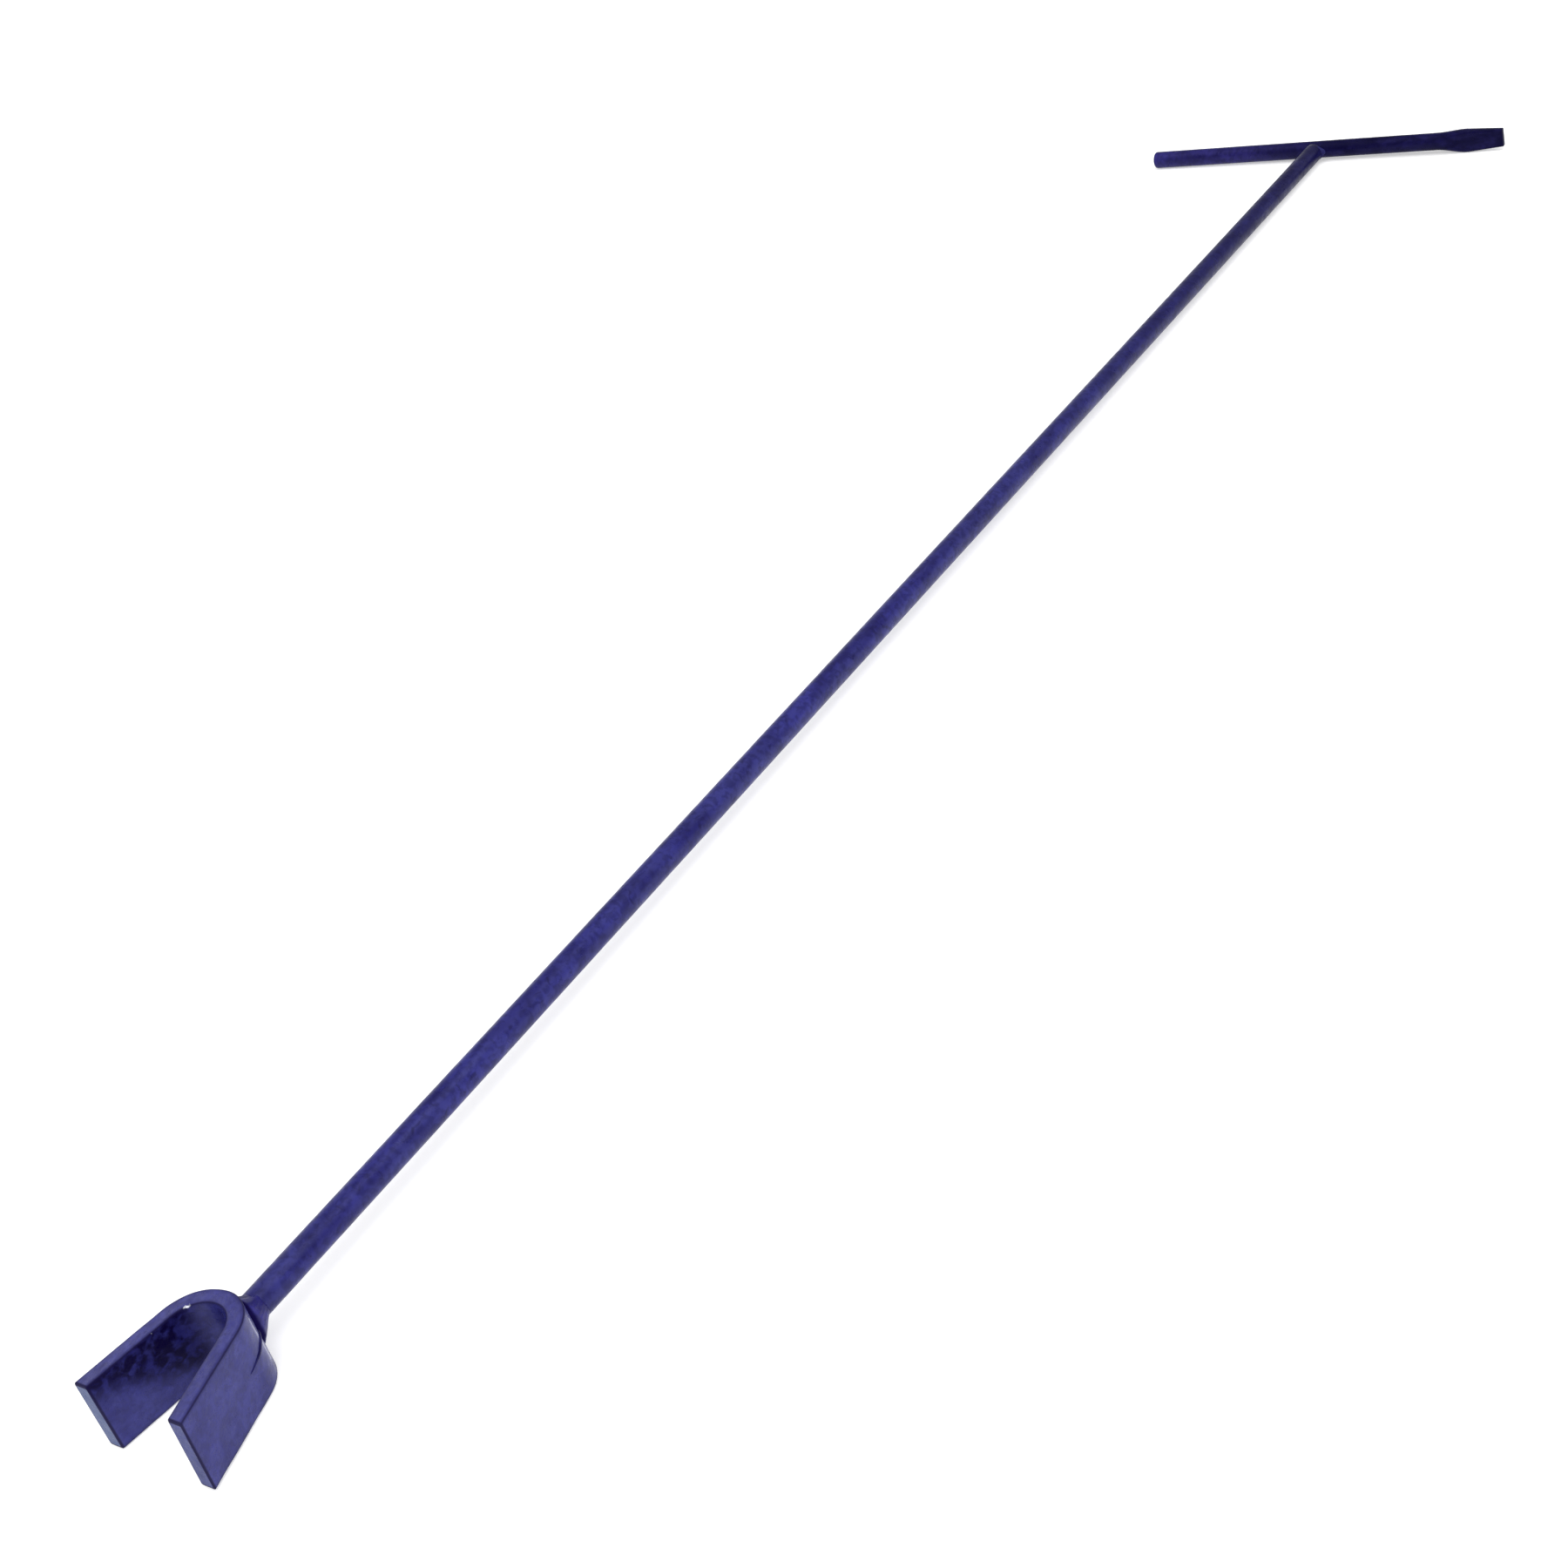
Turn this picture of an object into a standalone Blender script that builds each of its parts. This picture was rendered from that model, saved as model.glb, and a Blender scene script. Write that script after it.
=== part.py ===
"""T-handled valve key: a round shank with a forked jaw welded to its foot and a cross bar to its head.

Metres, +Z up. The key lies at rest on a flat floor, jaw towards -X and handle towards +X, and the
origin is the bottom centre of its box. Its pieces are made in the key's own frame and parented to
an empty that lays them down. In the key's frame the top of the jaw's bend is at the origin, Z runs
up the shank, X runs along the handle towards its flattened end, and Y runs across the jaw's flat
bar, towards the floor.
"""

import math

import bmesh
import bpy
from mathutils import Matrix, Vector

# Driving dimensions.
OVERALL_LENGTH = 1.528  # five feet nominal, from the longer arm's end to the far side of the handle

SHANK_DIAMETER = 0.0159
SHANK_OFFSET = -0.0021  # the shank stands a little to the plain side of the jaw's bend

JAW_WIDTH = 0.0422  # the flat bar that the jaw is bent from
JAW_THICKNESS = 0.009
JAW_INNER_RADIUS = 0.0170
JAW_DEPTH = 0.0702  # from the top of the bend to the left arm's end
RIGHT_ARM_EXTRA = 0.0015  # the right arm was left a little longer
RIGHT_END_SKEW = math.radians(2.0)  # and its end sawn a little out of square
LEFT_SPLAY = math.radians(10.6)
RIGHT_SPLAY = math.radians(14.7)
JAW_EDGE = 0.0006  # broken edges of the flat bar

HANDLE_DIAMETER = 0.0147
PLAIN_SIDE = 0.156  # from the shank's axis to the plain end
FLAT_SIDE = 0.1665  # from the shank's axis to the flattened tip
FLAT_LENGTH = 0.058
BELLY_TO_TIP = 0.031  # the widest place of the flattened end, from its tip
BELLY_WIDTH = 0.0197
BELLY_SHIFT = 0.00075  # the flattened end spread further towards the floor
BELLY_THICKNESS = 0.0085
BELLY_CORNER = 0.0030
TIP_WIDTH = 0.0154
TIP_THICKNESS = 0.0050
TIP_CORNER = 0.0012
HANDLE_END_CHAMFER = 0.0012

FOOT_WELD_RISE = 0.0108  # up the shank
FOOT_WELD_REACH = 0.0081  # out over the jaw
FOOT_WELD_WAIST = (0.32, 0.0064)  # share of the reach, and height: the fillet is hollow here
FOOT_WELD_SHOULDER = (0.84, 0.0027)  # share of the reach, and thickness over the jaw
FOOT_WELD_TOE = 0.0009  # thickness of the outer edge
HEAD_WELD_SEMI_AXES = (0.0115, 0.00805, 0.0045)

GAP = 0.0003  # between pieces that touch

# Fineness of the round shapes.
ROUND_STEPS = 48
BEND_STEPS = 28
CORNER_STEPS = 10  # points in each corner of a handle section
FLARE_STEPS = 6
EDGE_ANGLE = 35  # degrees; faces that meet more sharply than this show an edge

# Sizes that follow from the driving dimensions.
SHANK_RADIUS = SHANK_DIAMETER / 2
JAW_OUTER_RADIUS = JAW_INNER_RADIUS + JAW_THICKNESS
BEND_HEIGHT = -JAW_OUTER_RADIUS  # centre of the jaw's bend
RIGHT_ARM_DEPTH = JAW_DEPTH + RIGHT_ARM_EXTRA
HANDLE_RADIUS = HANDLE_DIAMETER / 2
HANDLE_HEIGHT = OVERALL_LENGTH - RIGHT_ARM_DEPTH - HANDLE_RADIUS
SHANK_TOP = HANDLE_HEIGHT - HANDLE_RADIUS - GAP

# Linear colours of the paint as it lies on each piece.
SHANK_BLUE = (0.060, 0.060, 0.200)
JAW_BLUE = (0.062, 0.062, 0.215)
HANDLE_BLUE = (0.035, 0.030, 0.130)
WELD_BLUE = (0.050, 0.050, 0.180)


def clear_scene():
    for old in list(bpy.data.objects):
        bpy.data.objects.remove(old, do_unlink=True)


def enamel(name, colour, roughness):
    """Gloss enamel over steel: the surface is paint, so it isn't metallic."""
    material = bpy.data.materials.new(name)
    material.use_nodes = True
    shader = material.node_tree.nodes["Principled BSDF"]
    shader.inputs["Base Color"].default_value = (*colour, 1.0)
    shader.inputs["Roughness"].default_value = roughness
    shader.inputs["Metallic"].default_value = 0.0
    return material


def new_solid(name, shape, parent, location):
    """One named object from a finished bmesh, with its faces turned outwards."""
    bmesh.ops.recalc_face_normals(shape, faces=shape.faces)
    mesh = bpy.data.meshes.new(name)
    shape.to_mesh(mesh)
    shape.free()
    solid = bpy.data.objects.new(name, mesh)
    bpy.context.scene.collection.objects.link(solid)
    solid.parent = parent
    solid.location = location
    return solid


def new_piece(name, shape, material, parent, location=(0.0, 0.0, 0.0)):
    """A painted piece of the key, smooth apart from its edges."""
    piece = new_solid(name, shape, parent, location)
    piece.data.materials.append(material)
    piece.data.shade_smooth()
    piece.data.set_sharp_from_angle(angle=math.radians(EDGE_ANGLE))
    return piece


def cutter(name, shape, parent, location, rotation=(0.0, 0.0, 0.0)):
    """A helper solid for a Boolean, left out of the model."""
    helper = new_solid(name, shape, parent, location)
    helper.rotation_euler = rotation
    helper.hide_render = True
    helper.display_type = "WIRE"
    return helper


def rod_shape(radius, length):
    shape = bmesh.new()
    bmesh.ops.create_cone(
        shape, cap_ends=True, segments=ROUND_STEPS, radius1=radius, radius2=radius, depth=length
    )
    return shape


def loft(sections, closed_path=False):
    """A bmesh through equal sections, each a closed ring of points.

    A closed path joins the last section to the first. Otherwise both ends are capped.
    """
    shape = bmesh.new()
    rings = [[shape.verts.new(point) for point in section] for section in sections]
    pairs = list(zip(rings, rings[1:]))
    if closed_path:
        pairs.append((rings[-1], rings[0]))
    else:
        shape.faces.new(rings[0])
        shape.faces.new(rings[-1])
    for ring, following in pairs:
        for index in range(len(ring)):
            before = index - 1
            shape.faces.new((ring[before], ring[index], following[index], following[before]))
    return shape


def make_shank(parent):
    length = SHANK_TOP - GAP
    middle = (SHANK_OFFSET, 0.0, GAP + length / 2)
    paint = enamel("shank paint", SHANK_BLUE, 0.35)
    return new_piece("shank", rod_shape(SHANK_RADIUS, length), paint, parent, middle)


def bend_line(radius, y):
    """Points along the bent bar at one radius and y, from the left arm's end to the right arm's."""
    first = math.pi - LEFT_SPLAY
    turn = RIGHT_SPLAY - first
    points = []
    for step in range(BEND_STEPS + 1):
        angle = first + turn * step / BEND_STEPS
        points.append((radius * math.cos(angle), y, BEND_HEIGHT + radius * math.sin(angle)))
    left_x, _, left_z = points[0]
    right_x, _, right_z = points[-1]
    right_depth = RIGHT_ARM_DEPTH + y * math.tan(RIGHT_END_SKEW)
    left_end = (left_x - (left_z + JAW_DEPTH) * math.tan(LEFT_SPLAY), y, -JAW_DEPTH)
    right_end = (right_x + (right_z + right_depth) * math.tan(RIGHT_SPLAY), y, -right_depth)
    return [left_end, *points, right_end]


def make_jaw(parent):
    """A flat bar bent to a U, with its arms splayed and their ends cut nearly square to the shank."""
    half = JAW_WIDTH / 2
    lines = (
        bend_line(JAW_OUTER_RADIUS, -half),
        bend_line(JAW_OUTER_RADIUS, half),
        bend_line(JAW_INNER_RADIUS, half),
        bend_line(JAW_INNER_RADIUS, -half),
    )
    paint = enamel("jaw paint", JAW_BLUE, 0.30)
    jaw = new_piece("jaw", loft(list(zip(*lines))), paint, parent)
    edges = jaw.modifiers.new("broken edges", "BEVEL")
    edges.width = JAW_EDGE
    edges.segments = 2
    edges.limit_method = "ANGLE"
    edges.angle_limit = math.radians(EDGE_ANGLE)
    return jaw


def rounded_section(x, shift, half_width, half_thickness, corner):
    """A ring of points across the handle: a circle where all three sizes are its radius.

    The shift moves the ring sideways, towards the floor.
    """
    points = []
    for step in range(4 * CORNER_STEPS):
        angle = math.tau * (step + 0.5) / (4 * CORNER_STEPS)
        across, up = math.cos(angle), math.sin(angle)
        y = shift + math.copysign(half_width - corner, across) + corner * across
        z = math.copysign(half_thickness - corner, up) + corner * up
        points.append((x, y, z))
    return points


def handle_stations():
    """(x, shift, half width, half thickness, corner radius) from the plain end to the tip."""
    end_radius = HANDLE_RADIUS - HANDLE_END_CHAMFER
    end = (0.0, end_radius, end_radius, end_radius)
    whole = (0.0, HANDLE_RADIUS, HANDLE_RADIUS, HANDLE_RADIUS)
    belly = (BELLY_SHIFT, BELLY_WIDTH / 2, BELLY_THICKNESS / 2, BELLY_CORNER)
    tip = (0.0, TIP_WIDTH / 2, TIP_THICKNESS / 2, TIP_CORNER)
    stations = [(-PLAIN_SIDE, *end), (HANDLE_END_CHAMFER - PLAIN_SIDE, *whole)]
    flare_start = FLAT_SIDE - FLAT_LENGTH
    flare_length = FLAT_LENGTH - BELLY_TO_TIP
    for step in range(FLARE_STEPS + 1):
        share = step / FLARE_STEPS
        eased = share * share * (3 - 2 * share)
        sizes = [a + (b - a) * eased for a, b in zip(whole, belly)]
        stations.append((flare_start + flare_length * share, *sizes))
    stations.append((FLAT_SIDE, *tip))
    return stations


def make_handle_bar(parent):
    """A round bar, hammered flat at one end: wide across the key, and thin along the shank."""
    sections = [rounded_section(*station) for station in handle_stations()]
    place = (SHANK_OFFSET, 0.0, HANDLE_HEIGHT)
    paint = enamel("handle paint", HANDLE_BLUE, 0.35)
    return new_piece("handle_bar", loft(sections), paint, parent, place)


def bend_surface(x):
    """Height of the jaw's outer bend at x."""
    return BEND_HEIGHT + math.sqrt(JAW_OUTER_RADIUS**2 - x**2)


def foot_weld_section(angle):
    """The foot weld cut by the half plane at this angle round the shank."""
    inner = SHANK_RADIUS + GAP
    toe = inner + FOOT_WELD_REACH

    def at(radius, height):
        return (radius * math.cos(angle), radius * math.sin(angle), height)

    def on_jaw(radius, above):
        x = SHANK_OFFSET + radius * math.cos(angle)
        return at(radius, bend_surface(x) + GAP + above)

    middle = inner + FOOT_WELD_REACH / 2
    waist, waist_height = FOOT_WELD_WAIST
    shoulder, shoulder_thickness = FOOT_WELD_SHOULDER
    return [
        at(inner, FOOT_WELD_RISE),
        at(inner + waist * FOOT_WELD_REACH, waist_height),
        on_jaw(inner + shoulder * FOOT_WELD_REACH, shoulder_thickness),
        on_jaw(toe, FOOT_WELD_TOE),
        on_jaw(toe, 0.0),
        on_jaw(middle, 0.0),
        on_jaw(inner, 0.0),
    ]


def make_foot_weld(parent):
    """The fillet of weld all round the shank's foot. Its underside follows the jaw's bend."""
    sections = [foot_weld_section(math.tau * step / ROUND_STEPS) for step in range(ROUND_STEPS)]
    paint = enamel("foot weld paint", WELD_BLUE, 0.30)
    place = (SHANK_OFFSET, 0.0, 0.0)
    return new_piece("foot_weld", loft(sections, closed_path=True), paint, parent, place)


def make_head_weld(parent):
    """Weld round the shank's head: it fills the hollow under the round bar, flush with the shank."""
    blob = bmesh.new()
    bmesh.ops.create_uvsphere(blob, u_segments=ROUND_STEPS, v_segments=ROUND_STEPS // 2, radius=1.0)
    bmesh.ops.scale(blob, vec=HEAD_WELD_SEMI_AXES, verts=blob.verts)
    place = (SHANK_OFFSET, 0.0, SHANK_TOP + GAP)
    weld = new_piece("head_weld", blob, enamel("head weld paint", WELD_BLUE, 0.35), parent, place)

    reach = 4 * HANDLE_RADIUS
    shank_room = rod_shape(SHANK_RADIUS + GAP, reach)
    shank_place = (SHANK_OFFSET, 0.0, SHANK_TOP + GAP - reach / 2)
    bar_room = rod_shape(HANDLE_RADIUS + GAP, reach)
    bar_place = (SHANK_OFFSET, 0.0, HANDLE_HEIGHT)
    sideways = (0.0, math.radians(90), 0.0)
    helpers = (
        cutter("shank room", shank_room, parent, shank_place),
        cutter("bar room", bar_room, parent, bar_place, sideways),
    )
    for helper in helpers:
        cut = weld.modifiers.new(helper.name, "BOOLEAN")
        cut.operation = "DIFFERENCE"
        cut.object = helper
    return weld


def floor_normal():
    """The floor's upward normal, in the key's frame, when the key lies on its back edge.

    It rests on three points: the plain end of the handle, the belly of the flattened end, and the
    bend's lower edge. Across the key the slope follows from the first two. Along the key it is
    found by repeating the balance of heights, which settles at once because the slopes are small.
    """
    plain_x = SHANK_OFFSET - PLAIN_SIDE
    belly_x = SHANK_OFFSET + FLAT_SIDE - BELLY_TO_TIP
    belly_drop = BELLY_SHIFT + BELLY_WIDTH / 2
    across = (belly_drop - HANDLE_RADIUS) / (belly_x - plain_x)
    edge_radius = JAW_OUTER_RADIUS - JAW_EDGE
    drop = HANDLE_RADIUS - JAW_WIDTH / 2 - across * plain_x
    along = 0.0
    for _ in range(8):
        along = (drop - edge_radius * math.hypot(across, along)) / (HANDLE_HEIGHT - BEND_HEIGHT)
    return Vector((across, -1.0, along)).normalized()


def lay_down(key_frame, pieces):
    """Turns the key onto its back edge, with the bottom centre of its box at the origin."""
    up = floor_normal()
    shank_axis = Vector((0.0, 0.0, 1.0))
    forward = (shank_axis - up * shank_axis.dot(up)).normalized()
    key_frame.matrix_world = Matrix((forward, up.cross(forward), up)).to_4x4()
    bpy.context.view_layer.update()

    points = []
    graph = bpy.context.evaluated_depsgraph_get()
    for piece in pieces:
        finished = piece.evaluated_get(graph)
        solid = finished.to_mesh()
        points += [piece.matrix_world @ vertex.co for vertex in solid.vertices]
        finished.to_mesh_clear()
    low = Vector([min(values) for values in zip(*points)])
    high = Vector([max(values) for values in zip(*points)])
    middle = (low + high) / 2
    key_frame.location = (-middle.x, -middle.y, -low.z)


def main():
    clear_scene()
    key_frame = bpy.data.objects.new("key_frame", None)
    bpy.context.scene.collection.objects.link(key_frame)
    makers = (make_shank, make_jaw, make_handle_bar, make_foot_weld, make_head_weld)
    pieces = [make(key_frame) for make in makers]
    lay_down(key_frame, pieces)


main()
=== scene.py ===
import math

import bmesh
import bpy
from mathutils import Matrix, Vector, noise


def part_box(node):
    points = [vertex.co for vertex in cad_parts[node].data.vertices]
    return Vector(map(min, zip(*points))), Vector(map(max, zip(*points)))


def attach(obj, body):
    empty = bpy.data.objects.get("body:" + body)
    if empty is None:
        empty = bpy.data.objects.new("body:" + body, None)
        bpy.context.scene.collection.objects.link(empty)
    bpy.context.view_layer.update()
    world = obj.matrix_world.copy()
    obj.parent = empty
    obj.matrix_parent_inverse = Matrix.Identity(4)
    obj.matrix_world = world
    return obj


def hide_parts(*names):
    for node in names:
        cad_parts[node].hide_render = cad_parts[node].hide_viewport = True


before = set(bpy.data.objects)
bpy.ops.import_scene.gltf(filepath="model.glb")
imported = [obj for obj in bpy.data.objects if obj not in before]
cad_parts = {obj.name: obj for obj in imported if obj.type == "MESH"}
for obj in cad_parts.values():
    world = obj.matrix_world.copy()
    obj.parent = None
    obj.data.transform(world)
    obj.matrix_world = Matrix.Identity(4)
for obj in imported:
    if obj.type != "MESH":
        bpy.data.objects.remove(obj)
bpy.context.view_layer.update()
print("frame loaded:", ", ".join(sorted(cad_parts)))

# Every piece is made in the key's own frame, in metres: the top of the fork's bend is the origin,
# z runs up the shank, x along the handle to the flattened end, y across the fork, down to the floor.
shank = {
    "radius": 0.00795,
    "offset": -0.0021,  # it stands a little to the plain side of the bend
    "foot": 0.0003,
    "head": 1.4413,
    "rollMark": 0.00006,  # how uneven the rolled bar is
    "rollSize": 0.006,
    "rollRadius": 0.008,
    "rollStretch": 0.5,  # the marks are twice as long as they are wide
    "stations": 420,
    "sides": 72,
}

lie = {"acrossDeg": 0.6388, "alongDeg": 0.4794}  # the key leans this much on the floor


def layDown():
    across = math.tan(math.radians(lie["acrossDeg"]))
    along = math.tan(math.radians(lie["alongDeg"]))
    up = Vector((across, -1, -along)).normalized()
    forward = (Vector((0, 0, 1)) - up * up.z).normalized()
    turn = Matrix((forward, up.cross(forward), up)).to_4x4()
    low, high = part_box("shank")
    middle = Vector((shank["offset"], 0, (shank["foot"] + shank["head"]) / 2))
    turn.translation = (low + high) / 2 - turn @ middle
    return turn


keyToRow = layDown()


def unevenness(point, size):
    return noise.noise(Vector(point) / size)  # from -1 to 1, the same each run


def dentShare(point, size):
    return 0.5 + 0.5 * unevenness(point, size)  # from 0 to 1


def eased(share):
    share = min(max(share, 0), 1)
    return share * share * (3 - 2 * share)


def loftPiece(name, rings, masks=None, closedPath=False):
    # rings of points make the skin; masks are numbers in the same order, for the paint to read
    shape = bmesh.new()
    rows = [[shape.verts.new(keyToRow @ Vector(point)) for point in ring] for ring in rings]
    pairs = list(zip(rows, rows[1:]))
    if closedPath:
        pairs.append((rows[-1], rows[0]))
    else:
        shape.faces.new(rows[0])
        shape.faces.new(rows[-1])
    for row, following in pairs:
        for index in range(len(row)):
            before = index - 1
            shape.faces.new((row[before], row[index], following[index], following[before]))
    bmesh.ops.recalc_face_normals(shape, faces=shape.faces)
    mesh = bpy.data.meshes.new(name)
    shape.to_mesh(mesh)
    shape.free()
    for maskName, values in (masks or {}).items():
        mask = mesh.attributes.new(maskName, "FLOAT", "POINT")
        mask.data.foreach_set("value", values)
    mesh.shade_smooth()
    piece = bpy.data.objects.new(name, mesh)
    bpy.context.scene.collection.objects.link(piece)
    return piece


def place(piece, paint, node=None):
    piece.data.materials.append(paint)
    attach(piece, "root")
    if node:
        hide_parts(node)
    print("made", piece.name, "with", len(piece.data.vertices), "points")


def feed(tree, value, socket):
    # a socket is linked, a number or a colour is typed in
    if isinstance(value, bpy.types.NodeSocket):
        tree.links.new(value, socket)
    elif isinstance(value, tuple):
        socket.default_value = (*value, 1)
    else:
        socket.default_value = value


def blendColour(tree, share, first, second):
    mix = tree.nodes.new("ShaderNodeMix")
    mix.data_type = "RGBA"
    feed(tree, share, mix.inputs[0])
    feed(tree, first, mix.inputs[6])
    feed(tree, second, mix.inputs[7])
    return mix.outputs[2]


def blendNumber(tree, share, first, second):
    mix = tree.nodes.new("ShaderNodeMix")
    feed(tree, share, mix.inputs[0])
    feed(tree, first, mix.inputs[2])
    feed(tree, second, mix.inputs[3])
    return mix.outputs[0]


def reckon(tree, operation, first, second):
    step = tree.nodes.new("ShaderNodeMath")
    step.operation = operation
    feed(tree, first, step.inputs[0])
    feed(tree, second, step.inputs[1])
    return step.outputs[0]


def ramp(tree, value, low, high, start=0.0, end=1.0):
    # soft step: start below low, end above high
    step = tree.nodes.new("ShaderNodeMapRange")
    step.interpolation_type = "SMOOTHSTEP"
    feed(tree, value, step.inputs["Value"])
    step.inputs["From Min"].default_value = low
    step.inputs["From Max"].default_value = high
    step.inputs["To Min"].default_value = start
    step.inputs["To Max"].default_value = end
    return step.outputs[0]


def patches(tree, size, stretch=(1, 1, 1), detail=3.0, distortion=0.0):
    # noise through the metal, its patches about size metres across
    where = tree.nodes.new("ShaderNodeTexCoord")
    fit = tree.nodes.new("ShaderNodeMapping")
    fit.inputs["Scale"].default_value = [part / size for part in stretch]
    tree.links.new(where.outputs["Object"], fit.inputs["Vector"])
    cloud = tree.nodes.new("ShaderNodeTexNoise")
    cloud.inputs["Scale"].default_value = 1.0
    cloud.inputs["Detail"].default_value = detail
    cloud.inputs["Distortion"].default_value = distortion
    tree.links.new(fit.outputs[0], cloud.inputs["Vector"])
    return cloud.outputs["Fac"]


def maskValue(tree, name):
    reader = tree.nodes.new("ShaderNodeAttribute")
    reader.attribute_name = name
    return reader.outputs["Fac"]


def bumps(tree, height, depth, below=None):
    bump = tree.nodes.new("ShaderNodeBump")
    bump.inputs["Strength"].default_value = 1.0
    bump.inputs["Distance"].default_value = depth
    tree.links.new(height, bump.inputs["Height"])
    if below:
        tree.links.new(below, bump.inputs["Normal"])
    return bump.outputs[0]


# what all the painted pieces share: how sharply each kind of patch starts, and the paint's relief
enamelFinish = {
    "cloudRange": (0.34, 0.66),
    "streakRange": (0.36, 0.68),
    "mottleRange": (0.40, 0.64),
    "glossRange": (0.3, 0.7),
    "peelSize": 0.0016,
    "peelDepth": 0.00006,
    "sagSize": 0.007,
}


def enamel(name, look):
    # gloss enamel laid on by hand: clouds of thick and thin paint, dark specks, runs and orange peel
    paint = bpy.data.materials.new(name)
    paint.use_nodes = True
    tree = paint.node_tree
    shader = tree.nodes["Principled BSDF"]
    clouds = ramp(tree, patches(tree, look["cloudSize"], look["grain"], 4.0), *look["cloudRange"])
    streaks = patches(tree, look["streakSize"], look["streakGrain"], 3.0, 0.3)
    streaks = reckon(tree, "MULTIPLY", ramp(tree, streaks, *look["streakRange"]), look["streakShare"])
    colour = blendColour(tree, clouds, look["thick"], look["thin"])
    colour = blendColour(tree, streaks, colour, look["streak"])
    specks = ramp(tree, patches(tree, look["speckSize"], (1, 1, 1), 5.0, 0.8), *look["speckRange"])
    specks = reckon(tree, "MULTIPLY", specks, look["speckShare"])
    colour = blendColour(tree, specks, colour, look["speck"])
    mottle = ramp(tree, patches(tree, look["mottleSize"], (1, 1, 1), 5.0, 0.4), *look["mottleRange"])
    mottle = reckon(tree, "MULTIPLY", mottle, look["mottleShare"])
    colour = blendColour(tree, mottle, colour, look["speck"])
    feed(tree, colour, shader.inputs["Base Color"])
    gloss = patches(tree, look["cloudSize"] / 2, (1, 1, 1), 4.0)
    gloss = ramp(tree, gloss, *look["glossRange"], *look["roughness"])
    feed(tree, gloss, shader.inputs["Roughness"])
    peel = bumps(tree, patches(tree, look["peelSize"], (1, 1, 1), 2.0), look["peelDepth"])
    sag = bumps(tree, patches(tree, look["sagSize"], look["grain"], 3.0), look["sagDepth"], peel)
    feed(tree, sag, shader.inputs["Normal"])
    shader.inputs["Specular IOR Level"].default_value = look["specular"]
    return paint, shader, colour


# the shank's paint; grain is how its patches stretch along the shank, across it and up
shankLook = {
    **enamelFinish,
    "thick": (0.013, 0.012, 0.105),
    "thin": (0.026, 0.026, 0.175),
    "cloudSize": 0.014,
    "grain": (0.45, 1, 1),
    "streak": (0.036, 0.038, 0.160),
    "streakSize": 0.008,
    "streakGrain": (0.12, 1, 1),
    "streakShare": 0.45,
    "speck": (0.004, 0.003, 0.042),
    "speckSize": 0.006,
    "speckRange": (0.56, 0.72),
    "speckShare": 0.6,
    "mottleSize": 0.0042,
    "mottleShare": 0.45,
    "roughness": (0.26, 0.42),
    "sagDepth": 0.00035,
    "specular": 0.16,
    "mattSpecular": 0.06,  # the painted shade is less glossy too
    "paintedShade": (0.005, 0.004, 0.036),  # painted shade, darker towards the handle
    "shadeFrom": 0.62,
    "shadeTo": 1.44,
    "shadeShare": 0.97,
    "shadeSize": 0.009,  # it lies in patches about this big
    "shadeRange": (0.36, 0.64),
    "shadeThin": 0.75,  # how much of it there is between the patches
}


def barPaint(name, look):
    # a round bar's enamel, with painted shade, darker and less glossy, where its shade mask is high
    paint, shader, colour = enamel(name, look)
    tree = paint.node_tree
    blotches = patches(tree, look["shadeSize"], look["grain"], 5.0, 0.5)
    between = look["shadeThin"] * look["shadeShare"]
    blotches = ramp(tree, blotches, *look["shadeRange"], between, look["shadeShare"])
    share = reckon(tree, "MULTIPLY", maskValue(tree, "paintedShade"), blotches)
    feed(tree, blendColour(tree, share, colour, look["paintedShade"]), shader.inputs["Base Color"])
    shine = blendNumber(tree, share, look["specular"], look["mattSpecular"])
    feed(tree, shine, shader.inputs["Specular IOR Level"])
    return paint


def makeShank():
    rings, paintedShade = [], []
    for station in range(shank["stations"] + 1):
        z = shank["foot"] + (shank["head"] - shank["foot"]) * station / shank["stations"]
        ring = []
        for side in range(shank["sides"]):
            angle = math.tau * side / shank["sides"]
            point = Vector((math.cos(angle), math.sin(angle), 0)) * shank["rollRadius"]
            point.z = z * shank["rollStretch"]
            radius = shank["radius"] - shank["rollMark"] * dentShare(point, shank["rollSize"])
            ring.append((shank["offset"] + radius * math.cos(angle), radius * math.sin(angle), z))
        rings.append(ring)
        # painted shade, fading in up the shank towards the handle
        fade = (z - shankLook["shadeFrom"]) / (shankLook["shadeTo"] - shankLook["shadeFrom"])
        paintedShade += [eased(fade)] * shank["sides"]
    piece = loftPiece("paintedShank", rings, {"paintedShade": paintedShade})
    place(piece, barPaint("shankPaint", shankLook), "shank")


makeShank()

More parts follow.
